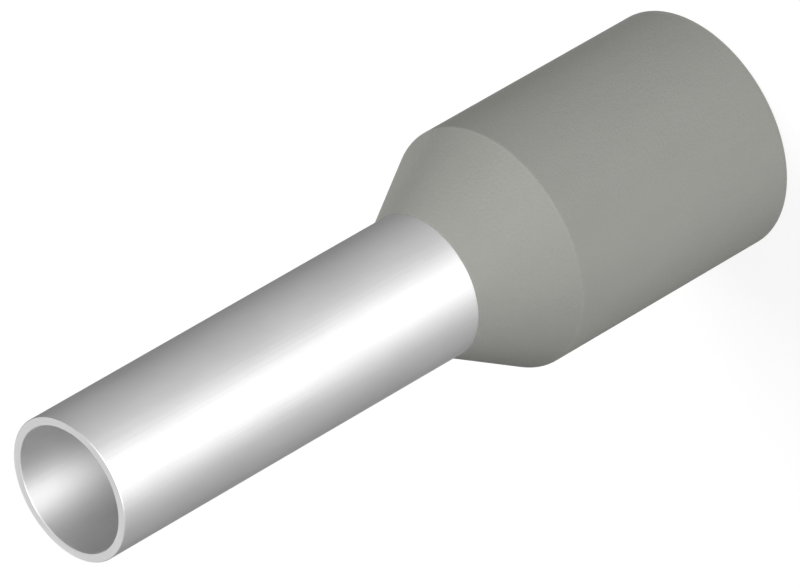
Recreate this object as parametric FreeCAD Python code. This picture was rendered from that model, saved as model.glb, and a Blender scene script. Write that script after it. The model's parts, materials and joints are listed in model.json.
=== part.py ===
import FreeCAD, Part
import math
import os

# Insulated wire end ferrule for a stranded conductor of 4 square millimetres. Sizes are in millimetres.
# It stands on the mouth of its plastic collar, with the bare sleeve pointing up.
# The origin is the centre of the collar's mouth, and +Z runs along the axis to the sleeve's tip.
# Two pieces make it. The sleeve is a thin tin-plated copper tube, flared to a funnel at its lower end.
# The collar is one plastic moulding: its cone holds the sleeve and seats the funnel, which guides the
# strands in, and its straight skirt takes the wire's insulation.

# Lengths along the axis
pin_length = 10.0
collar_length = 8.0

# Sleeve
sleeve_bore_diameter = 2.8
sleeve_wall = 0.2
sleeve_bend_radius = 0.3
sleeve_edge_round = 0.02

# Collar
collar_diameter = 5.4
collar_wall = 0.3
collar_nose_width = 0.01
collar_shoulder_round = 0.08
collar_seat_round = 0.1
collar_mouth_round = 0.02

# Slope of the collar's cone and of the sleeve's funnel, in degrees from the axis
cone_half_angle = 29.6

# Gap between the funnel's rim and the collar's bore
funnel_clearance = 0.03


# Radii, heights and the slope in radians, worked out from the sizes above
sleeve_bore_radius = sleeve_bore_diameter / 2
sleeve_radius = sleeve_bore_radius + sleeve_wall
collar_radius = collar_diameter / 2
collar_bore_radius = collar_radius - collar_wall
tip_height = collar_length + pin_length
slope = math.radians(cone_half_angle)


def down_the_slope(start, radius):
    """The point at this radius, outward and down from start at the cone's slope."""
    return radius, start[1] - (radius - start[0]) / math.tan(slope)


def out_of_the_slope(start, distance):
    """The point this far from start, square to the slope, on its outer and upper side."""
    return start[0] + distance * math.cos(slope), start[1] + distance * math.sin(slope)


# The cone's outer line runs from the nose to the shoulder. Its inner line lies one collar wall behind,
# from the throat, where the straight sleeve ends, to the corner of the seat in the collar's bore.
nose_edge = (sleeve_radius + collar_nose_width, collar_length)
shoulder = down_the_slope(nose_edge, collar_radius)
throat = down_the_slope(out_of_the_slope(nose_edge, -collar_wall), sleeve_radius)
seat_corner = down_the_slope(throat, collar_bore_radius)

# The funnel lies on the cone's inner line, with its rim cut square to the sloping wall
funnel_rim = down_the_slope(throat, collar_bore_radius - funnel_clearance)
funnel_rim_inside = out_of_the_slope(funnel_rim, -sleeve_wall)
throat_inside = (sleeve_bore_radius, throat[1] - sleeve_wall * math.tan(slope / 2))


def rounded_corner(before, corner, after, radius):
    """Where the arc that rounds a corner starts and ends, and the arc itself. Radius 0 keeps it sharp."""
    if radius == 0:
        return corner, corner, []
    toward_before = (before - corner).normalize()
    toward_after = (after - corner).normalize()
    half_angle = toward_before.getAngle(toward_after) / 2
    start = corner + toward_before * (radius / math.tan(half_angle))
    end = corner + toward_after * (radius / math.tan(half_angle))
    toward_centre = (toward_before + toward_after).normalize()
    middle = corner + toward_centre * (radius / math.sin(half_angle) - radius)
    return start, end, [Part.Arc(start, middle, end).toShape()]


def turned_solid(outline):
    """A solid turned about Z from a closed outline of (radius, height, corner rounding) points."""
    points = [FreeCAD.Vector(radius, 0, height) for radius, height, rounding in outline]
    roundings = [rounding for radius, height, rounding in outline]
    corners = [
        rounded_corner(points[i - 1], points[i], points[(i + 1) % len(points)], roundings[i])
        for i in range(len(points))
    ]
    edges = []
    for (start, end, arc), (next_start, next_end, next_arc) in zip(corners, corners[1:] + corners[:1]):
        edges += arc + [Part.makeLine(end, next_start)]
    face = Part.Face(Part.Wire(edges))
    return face.revolve(FreeCAD.Vector(0, 0, 0), FreeCAD.Vector(0, 0, 1), 360)


def make_tinned_sleeve():
    """One drawn tube, straight from its tip down to the throat, then flared to the funnel."""
    return turned_solid([
        (sleeve_bore_radius, tip_height, sleeve_edge_round),
        (sleeve_radius, tip_height, sleeve_edge_round),
        (*throat, sleeve_bend_radius),
        (*funnel_rim, sleeve_edge_round),
        (*funnel_rim_inside, sleeve_edge_round),
        (*throat_inside, sleeve_bend_radius + sleeve_wall),
    ])


def make_insulating_collar():
    """One moulding: the nose and cone round the sleeve, then the straight skirt down to the mouth."""
    return turned_solid([
        (sleeve_radius, collar_length, 0),
        (*nose_edge, 0),
        (*shoulder, collar_shoulder_round),
        (collar_radius, 0, collar_mouth_round),
        (collar_bore_radius, 0, collar_mouth_round),
        (*seat_corner, collar_seat_round),
        (*throat, sleeve_bend_radius),
    ])


os.makedirs("parts", exist_ok=True)
pieces = {
    "tinned_sleeve": make_tinned_sleeve(),
    "insulating_collar": make_insulating_collar(),
}
for name, solid in pieces.items():
    solid.exportStep(f"parts/{name}.step")
    print(name, "volume", round(solid.Volume, 3), "valid", solid.isValid())
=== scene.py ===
# %% [markdown]
# # A wire ferrule, dressed for its picture
#
# The object is an insulated wire end ferrule: a thin tin-plated copper sleeve in a grey plastic collar.
# It is 18 mm tall and stands on the collar's mouth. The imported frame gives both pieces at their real
# size, but their meshes have only about thirty flat sides, which a shiny tube shows at once. So both
# pieces are turned again here, finely, from the frame's own sizes, and take the frame's place in the
# picture.

# %% Load the frame
import json
import math

import bpy
from mathutils import Matrix, Vector


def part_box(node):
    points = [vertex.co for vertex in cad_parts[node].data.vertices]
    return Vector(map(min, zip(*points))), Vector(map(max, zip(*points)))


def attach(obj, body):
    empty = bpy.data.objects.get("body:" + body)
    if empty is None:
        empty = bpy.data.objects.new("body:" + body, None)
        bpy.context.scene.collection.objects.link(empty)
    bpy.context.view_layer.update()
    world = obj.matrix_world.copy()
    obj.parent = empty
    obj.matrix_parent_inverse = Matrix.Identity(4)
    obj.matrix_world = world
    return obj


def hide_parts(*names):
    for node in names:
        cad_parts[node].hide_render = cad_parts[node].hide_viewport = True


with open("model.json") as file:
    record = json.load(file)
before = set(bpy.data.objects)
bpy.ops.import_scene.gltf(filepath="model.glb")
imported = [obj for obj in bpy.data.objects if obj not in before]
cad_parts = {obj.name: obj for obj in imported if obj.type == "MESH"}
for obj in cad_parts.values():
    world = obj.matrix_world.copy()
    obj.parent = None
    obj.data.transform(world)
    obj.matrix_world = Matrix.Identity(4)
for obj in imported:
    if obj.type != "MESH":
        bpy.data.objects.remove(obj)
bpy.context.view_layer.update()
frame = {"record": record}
MM = 0.001

# %% [markdown]
# ## Sizes
#
# What the frame knows is read from it: each node's box, and the radii that the record's mounts state.
# What it doesn't state, such as a small rounding, is named here in millimetres, as it is in the
# construction. Only the rounding of the cone's nose, a few thousandths of a millimetre, is this script's
# own, because a knife edge would catch no light.

# %% Read the sizes from the frame
mounts = {mount["name"]: mount for mount in frame["record"]["mounts"]}


def mount_radius(name):
    """The radius of a round mount, in metres."""
    return mounts[name]["dims"]["r_mm"] * MM


bore_radius = mount_radius("conductor_bore")
sleeve_radius = mount_radius("crimp_pin")
collar_bore_radius = mount_radius("insulation_bore")
sleeve_wall = sleeve_radius - bore_radius

collar_top_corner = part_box("insulating_collar")[1]
collar_radius, collar_length = collar_top_corner.x, collar_top_corner.z
collar_wall = collar_radius - collar_bore_radius
sleeve_top_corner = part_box("tinned_sleeve")[1]
funnel_radius, tip_height = sleeve_top_corner.x, sleeve_top_corner.z
print("sleeve radius", round(sleeve_radius / MM, 3), "mm, collar radius", round(collar_radius / MM, 3), "mm")
print("collar length", round(collar_length / MM, 3), "mm, tip height", round(tip_height / MM, 3), "mm")

# %% Name the sizes that the frame doesn't state
cone_half_angle = math.radians(29.6)
nose_width = 0.01 * MM
nose_round = 0.006 * MM
shoulder_round = 0.08 * MM
mouth_round = 0.02 * MM
seat_round = 0.1 * MM
sleeve_edge_round = 0.02 * MM
sleeve_bend_radius = 0.3 * MM
print("cone", round(math.degrees(cone_half_angle), 1), "degrees from the axis")

# %% [markdown]
# ## The cone and the funnel
#
# The collar's cone and the sleeve's funnel slope alike. The cone's outer line runs from the nose down to
# the shoulder. Its inner line is one collar wall behind it, and the funnel lies on that. Every corner of
# both outlines therefore follows from a radius, that slope and a wall.

# %% Work out the corners on the slope


def down_the_slope(start, radius):
    """The point at this radius, outward and down from start at the cone's slope."""
    return Vector((radius, start.y - (radius - start.x) / math.tan(cone_half_angle)))


def out_of_the_slope(start, distance):
    """The point this far from start, square to the slope, on its outer and upper side."""
    return start + Vector((math.cos(cone_half_angle), math.sin(cone_half_angle))) * distance


nose_edge = Vector((sleeve_radius + nose_width, collar_length))
shoulder = down_the_slope(nose_edge, collar_radius)
throat = down_the_slope(out_of_the_slope(nose_edge, -collar_wall), sleeve_radius)
seat_corner = down_the_slope(throat, collar_bore_radius)
funnel_rim = down_the_slope(throat, funnel_radius)
funnel_rim_inside = out_of_the_slope(funnel_rim, -sleeve_wall)
throat_inside = Vector((bore_radius, throat.y - sleeve_wall * math.tan(cone_half_angle / 2)))
print("shoulder height", round(shoulder.y / MM, 3), "mm, throat height", round(throat.y / MM, 3), "mm")

# %% [markdown]
# ## From corners to an outline
#
# A turned part is one closed outline of radius against height, spun about its axis. The outline could be
# drawn as a Bezier curve, but its corners are arcs of known radius, so a short function lays them
# exactly. Beside each arc it adds a holding point on the straight side. Smooth shading blends the normals
# of neighbouring faces, and a holding point keeps that blend in a narrow band, so that the long walls
# shade as true cylinders and cones. Each point also carries two numbers for the finishes. Edge is 1 on an
# exposed edge, where wear shows. Bore is 1 inside the sleeve, which has a finish of its own.

# %% Round the corners of an outline
ARC_STEPS = 8
HOLDING_DISTANCE = 0.04 * MM
SHORTEST_HELD_SIDE = 3 * HOLDING_DISTANCE
EXPOSED, SHELTERED = 1.0, 0.0
IN_THE_BORE, OUTSIDE = 1.0, 0.0


def corner_arc(before, corner, after, rounding):
    """The points of the arc that rounds one corner. With no rounding it is the corner itself."""
    if rounding == 0:
        return [corner]
    toward_before = (before - corner).normalized()
    toward_after = (after - corner).normalized()
    half_angle = toward_before.angle(toward_after) / 2
    start = corner + toward_before * (rounding / math.tan(half_angle))
    centre = corner + (toward_before + toward_after).normalized() * (rounding / math.sin(half_angle))
    turn_way = 1 if toward_before.cross(toward_after) < 0 else -1
    sweep = turn_way * (math.pi - 2 * half_angle)
    turns = [Matrix.Rotation(sweep * step / ARC_STEPS, 2) for step in range(ARC_STEPS + 1)]
    return [centre + turn @ (start - centre) for turn in turns]


def outline_points(corners):
    """Every point of a closed outline, as (radius, height, edge, bore).

    It is given by its corners. Each has a place, a rounding, its edge and its bore. The bore counts for the
    side that follows the corner.
    """
    arcs = []
    for place, (corner, rounding, edge, bore) in enumerate(corners):
        before, after = corners[place - 1][0], corners[(place + 1) % len(corners)][0]
        arcs.append(corner_arc(before, corner, after, rounding))
    points = []
    for place, (corner, rounding, edge, bore) in enumerate(corners):
        arc, next_start = arcs[place], arcs[(place + 1) % len(arcs)][0]
        bore_before = corners[place - 1][3]
        for step, point in enumerate(arc):
            points.append((point, edge, bore if step > ARC_STEPS / 2 else bore_before))
        side = next_start - arc[-1]
        if side.length > SHORTEST_HELD_SIDE:
            hold = side.normalized() * HOLDING_DISTANCE
            points += [(arc[-1] + hold, SHELTERED, bore), (next_start - hold, SHELTERED, bore)]
    return [(point.x, point.y, edge, bore) for point, edge, bore in points]


print("a rounded corner gets", ARC_STEPS + 1, "points")

# %% [markdown]
# ## A lathe in Geometry Nodes
#
# The outline could be spun with the Screw modifier or with bmesh.ops.spin. A node tree is used instead,
# because it writes a UV map and both numbers on the way, and closes its own seam. It lays a flat grid
# with one column for each step round and one row for each point of the outline. Then it moves every grid
# point to its outline point's radius and height, turned by its column's share of a full turn. The first
# and last columns meet, and so do the first and last rows, so Merge by Distance closes both seams. Last
# come two Set Material nodes: one finish goes all over the piece, and the other goes where bore is 1.

# %% Helpers that add nodes to a tree


def add_node(tree, kind, inputs=None, **settings):
    """Adds a node with its settings. An input given as a socket is linked, and any other is set."""
    made = tree.nodes.new(kind)
    for name, value in settings.items():
        setattr(made, name, value)
    for name, value in (inputs or {}).items():
        if isinstance(value, bpy.types.NodeSocket):
            tree.links.new(value, made.inputs[name])
        else:
            made.inputs[name].default_value = value
    return made


def maths(tree, operation, *terms):
    """The output of one Math node with this operation on these terms."""
    return add_node(tree, "ShaderNodeMath", dict(enumerate(terms)), operation=operation).outputs[0]


# %% Build the lathe tree
MERGE_DISTANCE = 0.0005 * MM


def new_group(name, kind, inputs, outputs):
    """An empty node group with these named sockets, and its input and output nodes."""
    group = bpy.data.node_groups.new(name, kind)
    for socket_name, socket_type in inputs:
        group.interface.new_socket(socket_name, in_out="INPUT", socket_type=socket_type)
    for socket_name, socket_type in outputs:
        group.interface.new_socket(socket_name, in_out="OUTPUT", socket_type=socket_type)
    return group, group.nodes.new("NodeGroupInput").outputs, group.nodes.new("NodeGroupOutput").inputs


def stored_number(tree, name):
    """The field of the number that is stored under this name."""
    stored = add_node(tree, "GeometryNodeInputNamedAttribute", {"Name": name}, data_type="FLOAT")
    return stored.outputs[0]


def build_lathe():
    """The node tree that spins an outline, given as a ring of vertices in the XZ plane, about Z."""
    tree, given, result = new_group(
        "Lathe",
        "GeometryNodeTree",
        [("Outline", "NodeSocketGeometry"), ("Steps round", "NodeSocketInt"),
         ("Finish", "NodeSocketMaterial"), ("Bore finish", "NodeSocketMaterial")],
        [("Turned piece", "NodeSocketGeometry")],
    )
    size = add_node(tree, "GeometryNodeAttributeDomainSize", {"Geometry": given["Outline"]})
    points = size.outputs["Point Count"]
    grid = add_node(tree, "GeometryNodeMeshGrid", {
        "Size X": 1.0,
        "Size Y": 1.0,
        "Vertices X": maths(tree, "ADD", given["Steps round"], 1.0),
        "Vertices Y": maths(tree, "ADD", points, 1.0),
    })
    here = add_node(tree, "GeometryNodeInputPosition").outputs[0]
    place = add_node(tree, "ShaderNodeSeparateXYZ", {0: here}).outputs
    turn = maths(tree, "MULTIPLY", maths(tree, "ADD", place["X"], 0.5), 2 * math.pi)
    row = maths(tree, "ROUND", maths(tree, "MULTIPLY", maths(tree, "ADD", place["Y"], 0.5), points))
    row = maths(tree, "MODULO", row, points)

    def on_the_outline(kind, field):
        """A value of the outline's point for this row."""
        return add_node(tree, "GeometryNodeSampleIndex", {
            "Geometry": given["Outline"], "Value": field, "Index": row,
        }, data_type=kind, domain="POINT").outputs[0]

    point = add_node(tree, "ShaderNodeSeparateXYZ", {0: on_the_outline("FLOAT_VECTOR", here)}).outputs
    position = add_node(tree, "ShaderNodeCombineXYZ", {
        "X": maths(tree, "MULTIPLY", point["X"], maths(tree, "COSINE", turn)),
        "Y": maths(tree, "MULTIPLY", point["X"], maths(tree, "SINE", turn)),
        "Z": point["Z"],
    })
    sheet = grid.outputs["Mesh"]
    for name in ("edge", "bore"):
        sheet = add_node(tree, "GeometryNodeStoreNamedAttribute", {
            "Geometry": sheet, "Name": name, "Value": on_the_outline("FLOAT", stored_number(tree, name)),
        }, data_type="FLOAT", domain="POINT").outputs[0]
    with_map = add_node(tree, "GeometryNodeStoreNamedAttribute", {
        "Geometry": sheet, "Name": "UVMap", "Value": grid.outputs["UV Map"],
    }, data_type="FLOAT2", domain="CORNER")
    turned = add_node(tree, "GeometryNodeSetPosition", {
        "Geometry": with_map.outputs[0], "Position": position.outputs[0],
    })
    closed = add_node(tree, "GeometryNodeMergeByDistance", {
        "Geometry": turned.outputs[0], "Distance": MERGE_DISTANCE,
    })
    smooth = add_node(tree, "GeometryNodeSetShadeSmooth", {"Geometry": closed.outputs[0]})
    real = add_node(tree, "GeometryNodeRealizeInstances", {"Geometry": smooth.outputs[0]})
    finished = add_node(tree, "GeometryNodeSetMaterial", {
        "Geometry": real.outputs[0], "Material": given["Finish"],
    })
    bore_faces = add_node(tree, "FunctionNodeCompare", {
        "A": stored_number(tree, "bore"), "B": (OUTSIDE + IN_THE_BORE) / 2,
    }, operation="GREATER_THAN").outputs[0]
    finished = add_node(tree, "GeometryNodeSetMaterial", {
        "Geometry": finished.outputs[0], "Selection": bore_faces, "Material": given["Bore finish"],
    })
    tree.links.new(finished.outputs[0], result["Turned piece"])
    return tree


lathe = build_lathe()
print("lathe tree with", len(lathe.nodes), "nodes")

# %% [markdown]
# ## Using the lathe
#
# The outline becomes a ring of vertices on an object, with the lathe as its modifier. A modifier's input
# is set by its socket's identifier before the object is first evaluated. The evaluated object is then
# turned into a plain mesh, because the modifier mustn't stay on a finished piece. The signed volume says
# whether the faces point outward, and the normals are flipped if they don't.

# %% Turn an outline into a piece
STEPS_ROUND = 224


def signed_volume(mesh):
    """The volume inside a closed mesh, which is negative if its faces point inward."""
    mesh.calc_loop_triangles()
    corners = [[mesh.vertices[i].co for i in triangle.vertices] for triangle in mesh.loop_triangles]
    return sum(a.dot(b.cross(c)) for a, b, c in corners) / 6


def turned_piece(name, corners, finish, bore_finish):
    """A plain mesh object turned on the lathe from an outline's corners."""
    points = outline_points(corners)
    ring = bpy.data.meshes.new(name + "_outline")
    ring.from_pydata(
        [(radius, 0, height) for radius, height, edge, bore in points],
        [(place, (place + 1) % len(points)) for place in range(len(points))],
        [],
    )
    ring.attributes.new("edge", "FLOAT", "POINT").data.foreach_set("value", [point[2] for point in points])
    ring.attributes.new("bore", "FLOAT", "POINT").data.foreach_set("value", [point[3] for point in points])
    piece = bpy.data.objects.new(name, ring)
    bpy.context.scene.collection.objects.link(piece)
    modifier = piece.modifiers.new("Lathe", "NODES")
    modifier.node_group = lathe
    settings = {"Steps round": STEPS_ROUND, "Finish": finish, "Bore finish": bore_finish}
    for socket in lathe.interface.items_tree:
        if socket.name in settings:
            modifier[socket.identifier] = settings[socket.name]
    depsgraph = bpy.context.evaluated_depsgraph_get()
    mesh = bpy.data.meshes.new_from_object(piece.evaluated_get(depsgraph), depsgraph=depsgraph)
    piece.modifiers.clear()
    piece.data = mesh
    mesh.name = name
    bpy.data.meshes.remove(ring)
    if signed_volume(mesh) < 0:
        mesh.flip_normals()
    print(name, len(mesh.vertices), "vertices", round(signed_volume(mesh) / MM**3, 3), "cubic mm")
    return piece


# %% [markdown]
# ## Effects that both finishes share
#
# Drawn metal and moulded plastic both vary a little over their surface, and both show a touch of wear
# where an edge is exposed. Each effect is a shader group, built once. Mottle gives soft patches from a
# noise texture on the object's own coordinates. Its stretch draws the patches out along the axis, which
# makes the lines that a drawing die leaves. Edge wear takes the edge value from the lathe and breaks it
# up with finer patches.

# %% Build the mottle group
NOISE_DETAIL = 3.0
NOISE_ROUGHNESS = 0.55


def build_mottle():
    """A group that gives a mask of soft patches, from 0 to 1 about an even 0.5."""
    group, given, result = new_group(
        "Mottle",
        "ShaderNodeTree",
        [("Coordinate", "NodeSocketVector"), ("Patches per mm", "NodeSocketFloat"),
         ("Stretch along the axis", "NodeSocketFloat"), ("Contrast", "NodeSocketFloat")],
        [("Mask", "NodeSocketFloat")],
    )
    along = maths(group, "DIVIDE", 1.0, given["Stretch along the axis"])
    stretch = add_node(group, "ShaderNodeCombineXYZ", {"X": 1.0, "Y": 1.0, "Z": along})
    stretched = add_node(group, "ShaderNodeVectorMath", {
        0: given["Coordinate"], 1: stretch.outputs[0],
    }, operation="MULTIPLY")
    noise = add_node(group, "ShaderNodeTexNoise", {
        "Vector": stretched.outputs[0],
        "Scale": maths(group, "DIVIDE", given["Patches per mm"], MM),
        "Detail": NOISE_DETAIL,
        "Roughness": NOISE_ROUGHNESS,
    })
    spread = maths(group, "MULTIPLY", maths(group, "SUBTRACT", noise.outputs[0], 0.5), given["Contrast"])
    mask = add_node(group, "ShaderNodeClamp", {"Value": maths(group, "ADD", spread, 0.5)})
    group.links.new(mask.outputs[0], result["Mask"])
    return group


mottle = build_mottle()
print("shader group:", mottle.name)

# %% Build the edge wear group
WEAR_CONTRAST = 3.0


def build_edge_wear():
    """A group that gives a broken mask of wear along the exposed edges."""
    group, given, result = new_group(
        "Edge wear",
        "ShaderNodeTree",
        [("Coordinate", "NodeSocketVector"), ("Edge", "NodeSocketFloat"),
         ("Patches per mm", "NodeSocketFloat"), ("Amount", "NodeSocketFloat")],
        [("Mask", "NodeSocketFloat")],
    )
    patches = add_node(group, "ShaderNodeGroup", node_tree=mottle)
    group.links.new(given["Coordinate"], patches.inputs["Coordinate"])
    group.links.new(given["Patches per mm"], patches.inputs["Patches per mm"])
    patches.inputs["Stretch along the axis"].default_value = 1.0
    patches.inputs["Contrast"].default_value = WEAR_CONTRAST
    worn = maths(group, "MULTIPLY", given["Edge"], patches.outputs["Mask"])
    group.links.new(maths(group, "MULTIPLY", worn, given["Amount"]), result["Mask"])
    return group


edge_wear = build_edge_wear()
print("shader group:", edge_wear.name)

# %% [markdown]
# ## Tin-plated copper
#
# A thin bright tin plating over drawn copper is a soft silver grey, neither mirror nor matt. It could be
# one grey metal, but then it looks like plastic film. Here the base colour drifts by a few percent in
# clouds of about a millimetre, and the cut edges are a little brighter. Fine lines, about twenty to the
# millimetre, run along the tube as drawing leaves them. The roughness follows them, and a bump of about
# two thousandths of a millimetre makes them catch light.
#
# Inside the tip, the light opens like a fan: narrow round the tube and long down it. A plain rough metal
# spreads light alike in every direction, which would fill the bore with flat grey. So the bore has a
# duller finish of its own, brushed round by fine rings that are too small to model. The shader's
# anisotropy stands for them. A quarter turn of it spreads the light along the tube.

# %% Helpers for a finish


def linear(red, green, blue):
    """A colour for a shader socket, from the 0 to 255 values that a screen shows."""
    shares = [value / 255 for value in (red, green, blue)]
    return [s / 12.92 if s <= 0.04045 else ((s + 0.055) / 1.055) ** 2.4 for s in shares] + [1.0]


def new_finish(name):
    """An empty node material: the material, its tree, its Principled shader and the object coordinate."""
    material = bpy.data.materials.new(name)
    material.use_nodes = True
    tree = material.node_tree
    coordinate = add_node(tree, "ShaderNodeTexCoord").outputs["Object"]
    return material, tree, tree.nodes["Principled BSDF"], coordinate


def patches(tree, coordinate, per_mm, stretch, contrast):
    """A mask from the mottle group."""
    return add_node(tree, "ShaderNodeGroup", {
        "Coordinate": coordinate,
        "Patches per mm": per_mm,
        "Stretch along the axis": stretch,
        "Contrast": contrast,
    }, node_tree=mottle).outputs["Mask"]


def from_the_lathe(tree, name):
    """One of the numbers that the lathe wrote on the piece."""
    written = add_node(tree, "ShaderNodeAttribute", attribute_name=name, attribute_type="GEOMETRY")
    return written.outputs["Fac"]


def wear(tree, coordinate, per_mm, amount):
    """A mask from the edge wear group."""
    return add_node(tree, "ShaderNodeGroup", {
        "Coordinate": coordinate,
        "Edge": from_the_lathe(tree, "edge"),
        "Patches per mm": per_mm,
        "Amount": amount,
    }, node_tree=edge_wear).outputs["Mask"]


def blend(tree, share, first, second):
    """Two colours mixed by a share from 0 to 1."""
    mixed = add_node(tree, "ShaderNodeMix", {"Factor": share, "A": first, "B": second}, data_type="RGBA")
    return mixed.outputs["Result"]


def ranged(tree, value, low, high):
    """A 0 to 1 value spread between low and high."""
    return add_node(tree, "ShaderNodeMapRange", {"Value": value, "To Min": low, "To Max": high}).outputs[0]


def raise_bump(tree, shader, mask, height):
    """Bump from a mask: where it is 1, the surface stands this much higher than where it is 0."""
    bump = add_node(tree, "ShaderNodeBump", {"Strength": 1.0, "Distance": height, "Height": mask})
    tree.links.new(bump.outputs["Normal"], shader.inputs["Normal"])


# %% Make the tin finishes
TIN_DARK, TIN_LIGHT, TIN_WORN = linear(223, 223, 223), linear(235, 235, 235), linear(236, 236, 236)
SLEEVE_ROUGHNESS = 0.36
BORE_ROUGHNESS = 0.68
ROUGHNESS_SPREAD = 0.05
BORE_ANISOTROPY = 0.88
ALONG_THE_TUBE = 0.25
LINE_HEIGHT = 0.0018 * MM


def tin_finish(name, roughness, anisotropy, anisotropy_turn):
    """Satin tin plating with fine drawn lines. The anisotropy is turned by a share of a full turn."""
    material, tree, shader, coordinate = new_finish(name)
    drawn_lines = patches(tree, coordinate, per_mm=20.0, stretch=60.0, contrast=1.6)
    clouds = patches(tree, coordinate, per_mm=0.9, stretch=2.0, contrast=1.4)
    colour = blend(tree, clouds, TIN_DARK, TIN_LIGHT)
    colour = blend(tree, wear(tree, coordinate, per_mm=12.0, amount=0.6), colour, TIN_WORN)
    tree.links.new(colour, shader.inputs["Base Color"])
    shader.inputs["Metallic"].default_value = 1.0
    rough = ranged(tree, drawn_lines, roughness - ROUGHNESS_SPREAD, roughness + ROUGHNESS_SPREAD)
    tree.links.new(rough, shader.inputs["Roughness"])
    shader.inputs["Anisotropic"].default_value = anisotropy
    shader.inputs["Anisotropic Rotation"].default_value = anisotropy_turn
    raise_bump(tree, shader, drawn_lines, LINE_HEIGHT)
    return material


satin_tin = tin_finish("satin_tin", SLEEVE_ROUGHNESS, anisotropy=0.0, anisotropy_turn=0.0)
bore_tin = tin_finish("bore_tin", BORE_ROUGHNESS, BORE_ANISOTROPY, ALONG_THE_TUBE)
print("tin finishes:", satin_tin.name, "and", bore_tin.name)

# %% [markdown]
# ## Moulded grey plastic
#
# The collar is a plain warm grey moulding. Its mould was finely eroded, so the surface is matt, with a
# grain of about a twentieth of a millimetre that stands a hundredth high. The colour drifts by a few
# percent over a few millimetres, where the plastic flowed. Handling rubs its edges first, and they turn a
# shade lighter.

# %% Make the plastic finish
GREY_DARK, GREY_LIGHT, GREY_WORN = linear(151, 152, 146), linear(160, 161, 155), linear(172, 173, 167)
PLASTIC_SPECULAR = 0.3
GRAIN_ROUGHNESS = (0.6, 0.7)
GRAIN_HEIGHT = 0.009 * MM


def plastic_finish():
    """Matt moulded plastic with a fine grain."""
    material, tree, shader, coordinate = new_finish("grey_moulding")
    grain = patches(tree, coordinate, per_mm=18.0, stretch=1.0, contrast=1.5)
    flow = patches(tree, coordinate, per_mm=0.5, stretch=2.5, contrast=1.3)
    colour = blend(tree, flow, GREY_DARK, GREY_LIGHT)
    colour = blend(tree, wear(tree, coordinate, per_mm=6.0, amount=0.3), colour, GREY_WORN)
    tree.links.new(colour, shader.inputs["Base Color"])
    tree.links.new(ranged(tree, grain, *GRAIN_ROUGHNESS), shader.inputs["Roughness"])
    shader.inputs["Specular IOR Level"].default_value = PLASTIC_SPECULAR
    raise_bump(tree, shader, grain, GRAIN_HEIGHT)
    return material


grey_moulding = plastic_finish()
print("plastic finish:", grey_moulding.name)

# %% [markdown]
# ## The two pieces
#
# The sleeve's outline goes up its bore, over the tip, down the outside to the throat, along the funnel
# and back inside. The collar's goes round its nose, down the cone and the skirt, round the mouth and up
# inside to the seat, where it follows the sleeve. Each finished piece rides on the one body and stands for
# its CAD node, which is hidden.

# %% Turn the sleeve and the collar
sleeve = turned_piece("drawn_sleeve", [
    (Vector((bore_radius, tip_height)), sleeve_edge_round, EXPOSED, OUTSIDE),
    (Vector((sleeve_radius, tip_height)), sleeve_edge_round, EXPOSED, OUTSIDE),
    (throat, sleeve_bend_radius, SHELTERED, OUTSIDE),
    (funnel_rim, sleeve_edge_round, EXPOSED, OUTSIDE),
    (funnel_rim_inside, sleeve_edge_round, EXPOSED, IN_THE_BORE),
    (throat_inside, sleeve_bend_radius + sleeve_wall, SHELTERED, IN_THE_BORE),
], satin_tin, bore_tin)

collar = turned_piece("moulded_collar", [
    (Vector((sleeve_radius, collar_length)), 0.0, SHELTERED, OUTSIDE),
    (nose_edge, nose_round, EXPOSED, OUTSIDE),
    (shoulder, shoulder_round, EXPOSED, OUTSIDE),
    (Vector((collar_radius, 0)), mouth_round, EXPOSED, OUTSIDE),
    (Vector((collar_bore_radius, 0)), mouth_round, EXPOSED, OUTSIDE),
    (seat_corner, seat_round, SHELTERED, OUTSIDE),
    (throat, sleeve_bend_radius, SHELTERED, OUTSIDE),
], grey_moulding, grey_moulding)

# %% Put the pieces in the frame's place
for piece, node_name, slot_name in (
    (sleeve, "tinned_sleeve", "tinned_copper"),
    (collar, "insulating_collar", "grey_plastic"),
):
    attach(piece, "root")
    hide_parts(node_name)
    print(piece.name, "stands for", node_name, "with the slot", slot_name)

# %% [markdown]
# ## Floor, tent and light
#
# The floor is plain white. To the camera, and in mirrors and glass, most of its white is its own, so that
# it stays white at any distance and still keeps a soft shadow. It lies a hair below the mouth, because
# two faces in one plane would flicker.
#
# A metal tube shows nothing but its surroundings, so it stands in a tent of pale cloth, as a jeweller's
# piece would. The tent is a sphere that shows only in reflections, flattened over the floor, and its glow
# depends only on direction. Its low part swings from bright beside the camera to dim behind, with one
# patch, and it draws the soft bright band along the sleeve. Its high part has two patches in front, which
# light the bore, and one behind, which lights the cut face of the tip. A patch is written as its azimuth
# and elevation in degrees, a power that narrows it, and its strength. Azimuth 0 is the camera's side, and
# a positive one goes toward -X.
#
# The plastic is lit by lamps: a large soft one high on the picture's left, a small one low in front and a
# weak one behind. An even sky fills the rest.

# %% Lay the floor
WHITE = (1.0, 1.0, 1.0, 1.0)
FLOOR_SIDE = 2.0
FLOOR_DROP = 0.01 * MM
FLOOR_WHITE = 0.22
FLOOR_GLOW = 0.855
bpy.ops.mesh.primitive_plane_add(size=FLOOR_SIDE, location=(0, 0, -FLOOR_DROP))
floor = bpy.context.object
floor.name = "floor"


def seen_directly(tree):
    """1 for the camera, and for what mirrors and glass show, and 0 for light that falls on the part."""
    path = add_node(tree, "ShaderNodeLightPath").outputs
    mirrored = maths(tree, "MAXIMUM", path["Is Glossy Ray"], path["Is Transmission Ray"])
    return maths(tree, "MAXIMUM", path["Is Camera Ray"], mirrored)


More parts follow.
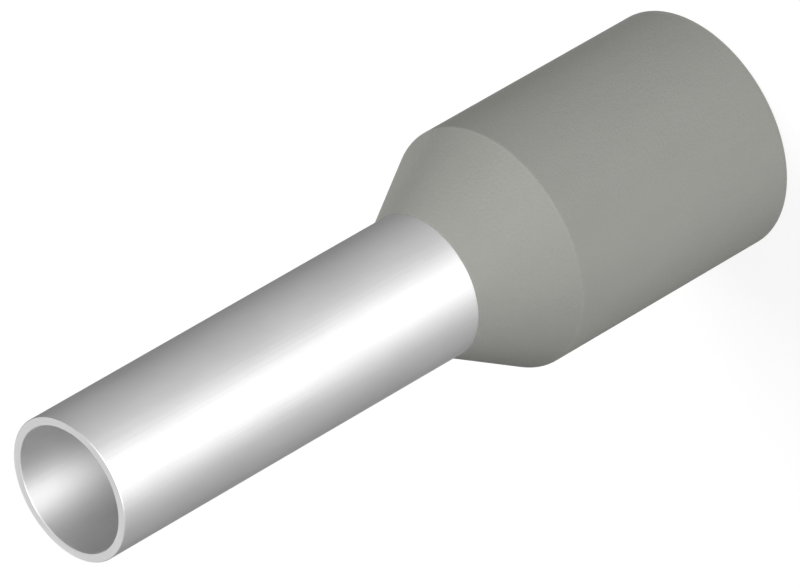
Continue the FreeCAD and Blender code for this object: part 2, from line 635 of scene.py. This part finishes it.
def floor_finish():
    """White card that gives off most of its white where it is seen."""
    material, tree, shader, _ = new_finish("white_card")
    shader.inputs["Base Color"].default_value = (FLOOR_WHITE, FLOOR_WHITE, FLOOR_WHITE, 1)
    shader.inputs["Roughness"].default_value = 1.0
    shader.inputs["Specular IOR Level"].default_value = 0.0
    shader.inputs["Emission Color"].default_value = WHITE
    glow = maths(tree, "MULTIPLY", seen_directly(tree), FLOOR_GLOW)
    tree.links.new(glow, shader.inputs["Emission Strength"])
    return material


floor.data.materials.append(floor_finish())
print("floor", FLOOR_SIDE, "m wide,", round(FLOOR_DROP / MM, 3), "mm below the mouth")

# %% Raise the tent
TENT_RADIUS = 90 * MM
TENT_FLOOR_HEIGHT = 0.1 * MM
bpy.ops.mesh.primitive_uv_sphere_add(segments=96, ring_count=48, radius=TENT_RADIUS)
tent = bpy.context.object
tent.name = "reflection_tent"
for vertex in tent.data.vertices:
    vertex.co.z = max(vertex.co.z, TENT_FLOOR_HEIGHT)
for ray in ("camera", "diffuse", "transmission", "volume_scatter", "shadow"):
    setattr(tent, "visible_" + ray, False)
print("tent of", round(TENT_RADIUS / MM), "mm radius with", len(tent.data.vertices), "vertices")

# %% Make the tent glow by direction
LOW_GLOW = 0.483
LOW_SWING = 0.289
LOW_SWING_AZIMUTH = 4
LOW_PATCHES = [(18, 0, 5, 0.79)]
HIGH_GLOW = 0.19
HIGH_PATCHES = [(15, 35, 25, 5.43), (15, 65, 6, 2.82), (180, 35, 12, 0.8)]
LOW_TO_HIGH = (15 * MM, 40 * MM)


def direction_of(azimuth, elevation):
    """The unit vector toward an azimuth and an elevation in degrees."""
    turn, rise = math.radians(azimuth), math.radians(elevation)
    return Vector((-math.sin(turn) * math.cos(rise), -math.cos(turn) * math.cos(rise), math.sin(rise)))


def tent_finish():
    """Cloth that glows by direction, with a low part and a high part."""
    material = bpy.data.materials.new("tent_cloth")
    material.use_nodes = True
    tree = material.node_tree
    tree.nodes.clear()
    position = add_node(tree, "ShaderNodeTexCoord").outputs["Object"]
    way = add_node(tree, "ShaderNodeVectorMath", {0: position}, operation="NORMALIZE").outputs[0]

    def facing(azimuth, elevation):
        """1 in this direction, 0 square to it and -1 away from it."""
        toward = direction_of(azimuth, elevation)
        product = add_node(tree, "ShaderNodeVectorMath", {0: way, 1: toward}, operation="DOT_PRODUCT")
        return product.outputs["Value"]

    def with_patches(glow, tent_patches):
        """A glow with soft bright patches added."""
        for azimuth, elevation, power, strength in tent_patches:
            patch = maths(tree, "POWER", maths(tree, "MAXIMUM", facing(azimuth, elevation), 0.0), power)
            glow = maths(tree, "ADD", glow, maths(tree, "MULTIPLY", patch, strength))
        return glow

    swing = maths(tree, "MULTIPLY", facing(LOW_SWING_AZIMUTH, 0), LOW_SWING)
    low = with_patches(maths(tree, "ADD", swing, LOW_GLOW), LOW_PATCHES)
    high = with_patches(HIGH_GLOW, HIGH_PATCHES)
    height = add_node(tree, "ShaderNodeSeparateXYZ", {0: position}).outputs["Z"]
    share_high = add_node(tree, "ShaderNodeMapRange", {
        "Value": height, "From Min": LOW_TO_HIGH[0], "From Max": LOW_TO_HIGH[1],
    }, interpolation_type="SMOOTHSTEP").outputs[0]
    strength = add_node(tree, "ShaderNodeMix", {"Factor": share_high, "A": low, "B": high}).outputs[0]
    shine = add_node(tree, "ShaderNodeEmission", {"Strength": strength})
    output = add_node(tree, "ShaderNodeOutputMaterial")
    tree.links.new(shine.outputs[0], output.inputs["Surface"])
    return material


tent.data.materials.clear()
tent.data.materials.append(tent_finish())
print("tent patches:", len(LOW_PATCHES), "low and", len(HIGH_PATCHES), "high")

# %% Light the sky and hang the lamps
SKY_FILL = 0.245

world = bpy.data.worlds.new("pale_sky")
bpy.context.scene.world = world
world.use_nodes = True
sky = world.node_tree
background = sky.nodes["Background"]
background.inputs["Color"].default_value = WHITE
sky.links.new(ranged(sky, seen_directly(sky), SKY_FILL, 1.0), background.inputs["Strength"])

part_middle = Vector((0, 0, tip_height / 2))


def hang_lamp(name, azimuth, elevation, distance, side, level):
    """A square soft lamp aimed at the part. At level 1, a white face square to it shows as white."""
    lamp = bpy.data.objects.new(name, bpy.data.lights.new(name, "AREA"))
    bpy.context.scene.collection.objects.link(lamp)
    way = direction_of(azimuth, elevation)
    lamp.location = part_middle + way * distance
    lamp.rotation_euler = way.to_track_quat("Z", "Y").to_euler()
    lamp.data.size = side
    lamp.data.energy = level * (math.pi * distance) ** 2
    lamp.visible_camera = False
    lamp.visible_glossy = False
    print(name, round(lamp.data.energy, 2), "W at", [round(x, 2) for x in lamp.location])


hang_lamp("high_left_lamp", azimuth=-95, elevation=51, distance=0.5, side=0.4, level=0.7)
hang_lamp("low_front_lamp", azimuth=19, elevation=6.1, distance=0.8, side=0.16, level=0.69)
hang_lamp("low_back_lamp", azimuth=187, elevation=3, distance=0.8, side=0.16, level=0.3)

# %% [markdown]
# ## Camera
#
# The picture looks down at the standing part by about 36 degrees, from far away with a very long lens,
# and it is rolled so that the part's axis climbs to the right by 30 degrees. The tip sits low on the
# left. The camera is built from those facts: its distance and lens set the size and the slight
# perspective, its roll sets the slant, and the tip's place in the picture sets the shift sideways and
# down.

# %% Set up the camera
PICTURE_WIDTH, PICTURE_HEIGHT = 800, 587
TIP_PIXEL = (69.1, 489.8)
LOOK_DOWN = math.radians(35.626)
AXIS_CLIMB = math.radians(29.985)
TIP_DISTANCE = 216.57 * MM
PIXELS_PER_MM = 50.322
SENSOR_WIDTH = 36.0
NEAREST_SEEN, FARTHEST_SEEN = 0.02, 10.0

looking = Vector((0, math.cos(LOOK_DOWN), -math.sin(LOOK_DOWN)))
down_the_axis = Vector((0, -math.sin(LOOK_DOWN), -math.cos(LOOK_DOWN)))
across = looking.cross(down_the_axis)
right = down_the_axis * math.cos(AXIS_CLIMB) + across * math.sin(AXIS_CLIMB)
up = down_the_axis * math.sin(AXIS_CLIMB) - across * math.cos(AXIS_CLIMB)
tip = Vector((0, 0, tip_height))
tip_right = (TIP_PIXEL[0] - PICTURE_WIDTH / 2) / PIXELS_PER_MM * MM
tip_down = (TIP_PIXEL[1] - PICTURE_HEIGHT / 2) / PIXELS_PER_MM * MM

camera = bpy.data.objects.new("camera", bpy.data.cameras.new("camera"))
bpy.context.scene.collection.objects.link(camera)
camera.data.sensor_width = SENSOR_WIDTH
camera.data.lens = SENSOR_WIDTH * PIXELS_PER_MM * (TIP_DISTANCE / MM) / PICTURE_WIDTH
camera.data.clip_start = NEAREST_SEEN
camera.data.clip_end = FARTHEST_SEEN
camera.matrix_world = Matrix.Translation(
    tip - looking * TIP_DISTANCE - right * tip_right + up * tip_down
) @ Matrix((right, up, -looking)).transposed().to_4x4()
bpy.context.scene.camera = camera
bpy.context.scene.view_settings.view_transform = "Standard"
print("lens", round(camera.data.lens, 1), "mm at", round(TIP_DISTANCE, 4), "m")
